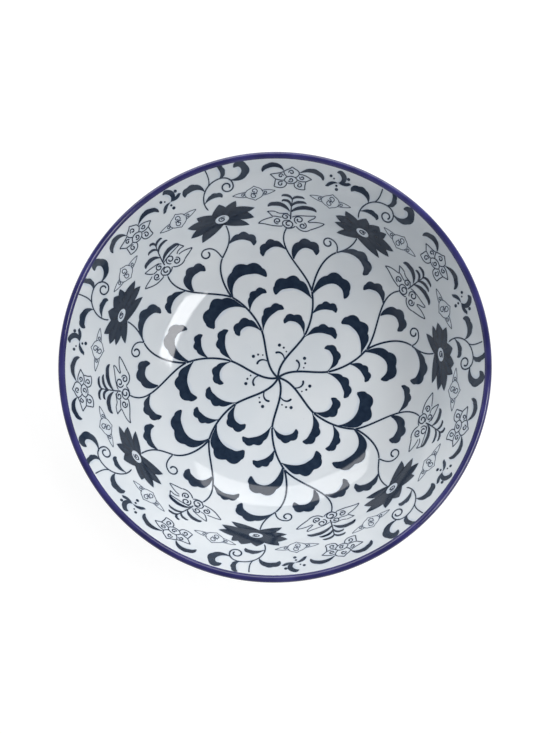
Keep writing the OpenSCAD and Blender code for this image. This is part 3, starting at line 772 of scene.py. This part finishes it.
# Rim sprays: a stem that rises beside each dark flower and curls back under the band, with brush-shaped
# leaves. They are printed in the same solid cobalt as the scroll, and fill the wall up to the lip.
spray_width = (0.9, 1.1)
shoot_width = (0.8, 0.9)
spray_stem = curve([
    [(-7, 104), (-11.2, 112), (-6, 123.8), (6, 123.6)],
    [(6, 123.6), (10, 123.2), (12.6, 120.4), (12.2, 116.8)]], 24).reshape(1, -1, 2)
spray_curl = spiral((8.1, 116.4), size=4.1, start=5, turns=-1.15, count=48, draw=0.6)
spray_path = np.concatenate([np.delete(spray_stem, 24, axis=1), spray_curl[:, 1:]], axis=1)
spray_shoot = curve([[(-3, 120.8), (-1.2, 123), (-1, 127), (-1.9, 132.4)]], spray_path.shape[1])
spray_leaves = [
    ([(-6.3, 118), (-8.6, 122), (-14.5, 122.6), (-18.6, 118.9)], 4.1, -1, 1.2),
    ([(-8.4, 109.2), (-5, 111.6), (0, 112.2), (3, 110)], 3.1, 1, 1.8),
    ([(5, 123.8), (7.4, 125.6), (7.6, 128.6), (5.2, 132.8)], 3.1, -1, 1.0),
    ([(10.6, 121), (18.5, 117.6), (24.6, 127.8), (16.4, 127.6)], 4.6, -1, 1.4)]
spray_edges = gather(pen_line(spray_path, *spray_width), pen_line(spray_shoot, *shoot_width),
    leaf_edges(spray_leaves, spray_path.shape[1], notch=0.12))
sprays = lay_print("sprays", spray_edges, spray_edges, line_proud, across=6, look=cobalt_print)
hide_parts("rim_sprays")

# Rim florets: five pale petals round an oval heart, each with a curl, drawn in fine cobalt line between
# two dark leaves. They are printed above the winged flowers, just under the band.
rim_lines = curve([
    [(-5.6, 124.0), (-3.4, 126.2), (-2.0, 125.6), (-0.4, 127.8)],
    [(-0.4, 127.8), (1.6, 125.6), (4.8, 125.8), (4.1, 122.6)],
    [(-5.6, 124.0), (-8.0, 122.4), (-11.0, 122.4), (-14.3, 121.2)],
    [(-14.3, 121.2), (-12.4, 120.2), (-11.6, 118.6), (-10.4, 118.2)],
    [(-10.4, 118.2), (-11.0, 116.4), (-10.6, 115.0), (-11.2, 112.7)],
    [(-11.2, 112.7), (-7.6, 111.4), (-3.6, 111.8), (-3.4, 116.0)],
    [(1.4, 116.0), (0.6, 112.2), (5.0, 111.2), (8.2, 112.0)],
    [(8.2, 112.0), (7.6, 114.4), (8.4, 116.0), (8.6, 118.0)],
    [(4.1, 122.6), (7.6, 123.2), (10.0, 121.2), (12.4, 119.7)],
    [(12.4, 119.7), (10.6, 119.4), (9.8, 118.0), (8.6, 118.0)],
    [(-5.0, 117.9), (-4.4, 121.6), (1.6, 122.0), (3.2, 118.5)],
    [(3.2, 118.5), (2.0, 114.8), (-4.0, 114.6), (-5.0, 117.9)],
    [(-5.6, 124.0), (-5.4, 122.6), (-4.8, 121.4), (-3.4, 120.6)],
    [(4.1, 122.6), (3.8, 121.6), (3.0, 120.8), (1.8, 120.2)],
    [(8.6, 118.0), (6.4, 117.2), (4.6, 117.8), (3.2, 118.5)],
    [(-10.4, 118.2), (-8.4, 117.6), (-6.2, 117.4), (-5.0, 117.9)]], 40)
rim_curls = spiral(
    [(-0.9, 118.3), (-7.4, 120.8), (-0.7, 123.8), (6.2, 120.4), (-7.2, 115.0), (4.4, 114.8)],
    size=[1.7, 1.6, 1.8, 1.6, 1.9, 1.9], start=[200, 0, 200, 150, 40, 120],
    turns=[1.1, 1.1, -1.1, 1.1, 1.1, -1.1], count=40)
rim_leaves = [
    ([(-5.8, 124.4), (-9, 127.8), (-15, 127.6), (-19, 122.6)], 3.0, -1, 1.0),
    ([(4.6, 123.6), (9.5, 125.4), (15.5, 125.6), (19.3, 119.9)], 2.9, 1, 1.2)]
rim_edges = gather(pen_line(rim_lines, fine_line, fine_line), pen_line(rim_curls, fine_line, curl_end),
    leaf_edges(rim_leaves, 40, notch=0.08))
rim_florets = lay_print("rim_florets_print", rim_edges, rim_edges, line_proud, across=5, look=fine_print,
    turn=wing_turn)
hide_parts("rim_florets")

# Small florets: a round heart of two curls with a pointed petal on each side, between the larger blooms.
# They are printed in the finest cobalt line, twice in each repeat.
small_line = 0.52
small_curl_end = 0.66
small_turns = np.radians([14.4, -12.0])
small_lines = curve([
    [(-13.4, 108.0), (-10, 109.4), (-7.5, 109.6), (-4.6, 109.6)],
    [(-13.4, 108.0), (-10, 106.6), (-7.5, 105.8), (-4.6, 105.8)],
    [(13.2, 108.4), (10, 109.6), (7.5, 110.0), (4.6, 109.6)],
    [(13.2, 108.4), (10, 106.8), (7.5, 106.1), (4.6, 106.0)],
    [(-5.9, 108.1), (-4.5, 111.9), (-1.3, 111.3), (0.4, 113.6)],
    [(0.4, 113.6), (2.0, 111.5), (4.9, 112.4), (5.6, 108.2)],
    [(-5.9, 108.1), (-4.9, 104.1), (-1.3, 104.7), (0.2, 102.7)],
    [(0.2, 102.7), (1.8, 104.5), (5.2, 103.9), (5.6, 108.2)]], 32)
small_curls = spiral([(0.3, 109.9), (-0.3, 106.3), (-6.8, 107.7), (6.8, 108.0)],
    size=[2.4, 2.3, 1.3, 1.3], start=[200, 20, 0, 180], turns=[1.3, 1.3, 1.2, 1.2], count=32)


def swing(points, turns):
    """Points on the sheet, turned about its middle by each of several angles."""
    x, y = points[None, ..., 0], points[None, ..., 1]
    turns = turns[:, None, None]
    return np.stack([x * np.cos(turns) - y * np.sin(turns), x * np.sin(turns) + y * np.cos(turns)],
        axis=-1).reshape(-1, *points.shape[1:])


small_edges = [swing(edge, small_turns) for edge in gather(pen_line(small_lines, small_line, small_line),
    pen_line(small_curls, small_line, small_curl_end))]
small_florets = lay_print("small_florets_print", small_edges, small_edges, line_proud, across=4,
    look=fine_print)
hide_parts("small_florets")

# Rim sprigs: three small brush strokes round a point, among dots. They are printed in solid cobalt in the
# gaps between the sprays and the rim florets.
sprig_turn = np.radians(13.6)
sprig_arms = [
    ([(0.2, 123), (2.7, 124.8), (2.7, 128.4), (-1.9, 129.6)], 3.0, -1, 1.0),
    ([(0.0, 122.8), (-3.4, 123.7), (-6.4, 122), (-7.3, 118.2)], 2.0, 1, 1.0),
    ([(0.3, 122.9), (3.4, 121.4), (6.4, 121.8), (8.6, 124.2)], 2.0, 1, 1.0)]
sprig_dots = np.array([[-5.3, 126.2, 1.0], [6.2, 127.6, 1.1], [0.2, 117.9, 1.1], [-3.0, 125.0, 0.6],
    [4.0, 125.2, 0.6], [-0.4, 120.5, 0.8]])
sprig_edges = gather(leaf_edges(sprig_arms, 32, notch=0.0), dot_edges(sprig_dots, 32))
sprigs = lay_print("sprigs", sprig_edges, sprig_edges, line_proud, across=6, look=cobalt_print,
    turn=sprig_turn)
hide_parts("rim_sprigs")

# Cobalt bleed: the blue tint round the print, where colour ran in the melted glaze. The print's area is
# summed on the inner glaze's own grid, and spread by a bell curve along the run and round the axis.
bleed_reach = 0.75 * mm
print_run, print_bearing, print_area = (np.concatenate(column) for column in zip(*printed))
run_step = inside_run[1]
bearing_step = 2 * np.pi / inside_around
grid_row = np.clip(np.rint(print_run / run_step).astype(int), 0, inside_rows - 1)
grid_column = np.rint(print_bearing / bearing_step).astype(int) % inside_around
covered = np.zeros((inside_rows, inside_around))
np.add.at(covered, (grid_row, grid_column), print_area)
row_radius = np.maximum(section(inside_run)[0], run_step / 4)[:, None]
covered /= row_radius * bearing_step * run_step
waves = np.arange(inside_around // 2 + 1)
spread = np.fft.irfft(np.fft.rfft(covered, axis=1) * np.exp(-(waves * bleed_reach / row_radius) ** 2 / 2),
    inside_around, axis=1)
bell = np.exp(-((inside_run[:, None] - inside_run) / bleed_reach) ** 2 / 2)
bleed = bell / bell.sum(axis=1, keepdims=True) @ spread

# The coat's upper face is the last of its rows of points, before its two poles.
tint = np.zeros(len(inner_glaze.data.vertices), dtype=np.float32)
front = bleed[::-1][:-1].ravel()
tint[-2 - len(front):-2] = np.clip(front, 0, 1)
inner_glaze.data.attributes.new("cobalt_bleed", "FLOAT", "POINT").data.foreach_set("value", tint)

# Studio: a white floor that takes a soft shadow and turns fully white away from the bowl, a broad softbox
# behind, a smaller one in front and to the right, and even light all round, dim overhead in reflections.
scene = bpy.context.scene
scene.view_settings.view_transform = "Standard"


def seen_ray(tree):
    """1 on rays that show the background to the eye or in a reflection, 0 on those that carry its
    light."""
    rays = add_node(tree, "ShaderNodeLightPath").outputs
    seen = rays["Is Camera Ray"]
    for other in ("Is Glossy Ray", "Is Transmission Ray"):
        seen = add_node(tree, "ShaderNodeMath", {0: seen, 1: rays[other]}, operation="MAXIMUM").outputs[0]
    return seen


floor_material = bpy.data.materials.new("floor")
floor_material.use_nodes = True
floor_tree = floor_material.node_tree
floor_tree.nodes.clear()
floor_paint = add_node(floor_tree, "ShaderNodeBsdfDiffuse", {"Color": (0.8, 0.8, 0.8, 1)})
floor_shade = add_node(floor_tree, "ShaderNodeBsdfDiffuse", {"Color": (0.3, 0.3, 0.3, 1)})
floor_place = add_node(floor_tree, "ShaderNodeTexCoord").outputs["Object"]
floor_reach = add_node(floor_tree, "ShaderNodeVectorMath", {0: floor_place}, operation="LENGTH")
floor_level = add_node(floor_tree, "ShaderNodeMapRange", {"Value": floor_reach.outputs["Value"],
    "From Min": 0.4, "From Max": 1.2, "To Min": 0.8, "To Max": 1.0})
floor_glow = add_node(floor_tree, "ShaderNodeEmission", {"Strength": floor_level.outputs["Result"]})
floor_white = add_node(floor_tree, "ShaderNodeAddShader",
    {0: floor_shade.outputs[0], 1: floor_glow.outputs[0]})
floor_mix = add_node(floor_tree, "ShaderNodeMixShader",
    {0: seen_ray(floor_tree), 1: floor_paint.outputs[0], 2: floor_white.outputs[0]})
add_node(floor_tree, "ShaderNodeOutputMaterial", {"Surface": floor_mix.outputs[0]})
floor_half = 3.0
floor_drop = 0.1 * mm
floor_points = floor_half * np.array([(-1, -1, 0), (1, -1, 0), (1, 1, 0), (-1, 1, 0)])
floor_points[:, 2] -= floor_drop
floor = put_mesh("floor", floor_points, [np.array([[0, 1, 2, 3]])], floor_material)

world = bpy.data.worlds.new("studio")
scene.world = world
world.use_nodes = True
sky = world.node_tree
sky.nodes.clear()
sky_way = add_node(sky, "ShaderNodeTexCoord").outputs["Generated"]
sky_height = add_node(sky, "ShaderNodeSeparateXYZ", {"Vector": sky_way}).outputs["Z"]
sky_seen = add_ramp(sky, sky_height, (0.25, (0.6, 0.6, 0.6)), (0.5, (0.15, 0.15, 0.16)),
    (0.95, (0.06, 0.06, 0.07)))
sky_color = add_mix(sky, seen_ray(sky), (0.32, 0.32, 0.32, 1), sky_seen)
sky_view = add_node(sky, "ShaderNodeLightPath").outputs["Is Camera Ray"]
sky_color = add_mix(sky, sky_view, sky_color, (1, 1, 1, 1))
sky_light = add_node(sky, "ShaderNodeBackground", {"Color": sky_color})
add_node(sky, "ShaderNodeOutputWorld", {"Surface": sky_light.outputs[0]})


def softbox(name, azimuth, elevation, distance, width, height, power):
    """Area light that faces the bowl from an azimuth and elevation in degrees."""
    lamp = bpy.data.lights.new(name, "AREA")
    lamp.shape = "RECTANGLE"
    lamp.size = width
    lamp.size_y = height
    lamp.energy = power
    azimuth, elevation = np.radians(azimuth), np.radians(elevation)
    level_share = np.cos(elevation)
    way = Vector((np.cos(azimuth) * level_share, np.sin(azimuth) * level_share, np.sin(elevation)))
    holder = bpy.data.objects.new(name, lamp)
    holder.location = way * distance
    holder.rotation_euler = way.to_track_quat("Z", "Y").to_euler()
    holder.visible_camera = False
    scene.collection.objects.link(holder)


softbox("front_softbox", azimuth=-37, elevation=54, distance=1.2, width=0.55, height=0.4, power=6.4)
softbox("back_softbox", azimuth=77, elevation=31, distance=1.2, width=1.5, height=0.75, power=12.5)

# Camera: it looks down into the bowl, a few degrees in front of straight down, and is turned a little
# about its own line of sight. The focal length and the shift of the picture's center are in pixels of a
# picture 734 high.
picture_height = 734
focal = 1260
tilt = np.radians(7.284)
bearing = np.radians(-1.857)
roll = np.radians(-16.428)
distance = 609.9 * mm
center_shift = (-1.28, -4.18)
target = np.array([0, 0, lip_center[1]])
back_way = np.array([np.sin(tilt) * np.sin(bearing), -np.sin(tilt) * np.cos(bearing), np.cos(tilt)])
level_way = np.array([np.cos(bearing), np.sin(bearing), 0])
rise_way = np.cross(back_way, level_way)
right_way = np.cos(roll) * level_way + np.sin(roll) * rise_way
up_way = np.cos(roll) * rise_way - np.sin(roll) * level_way
view = bpy.data.cameras.new("camera")
view.lens = focal / picture_height * view.sensor_width
view.shift_x = -center_shift[0] / picture_height
view.shift_y = center_shift[1] / picture_height
camera = bpy.data.objects.new("camera", view)
camera_place = np.eye(4)
camera_place[:3] = np.column_stack([right_way, up_way, back_way, target + distance * back_way])
camera.matrix_world = Matrix(camera_place.tolist())
scene.collection.objects.link(camera)
scene.camera = camera
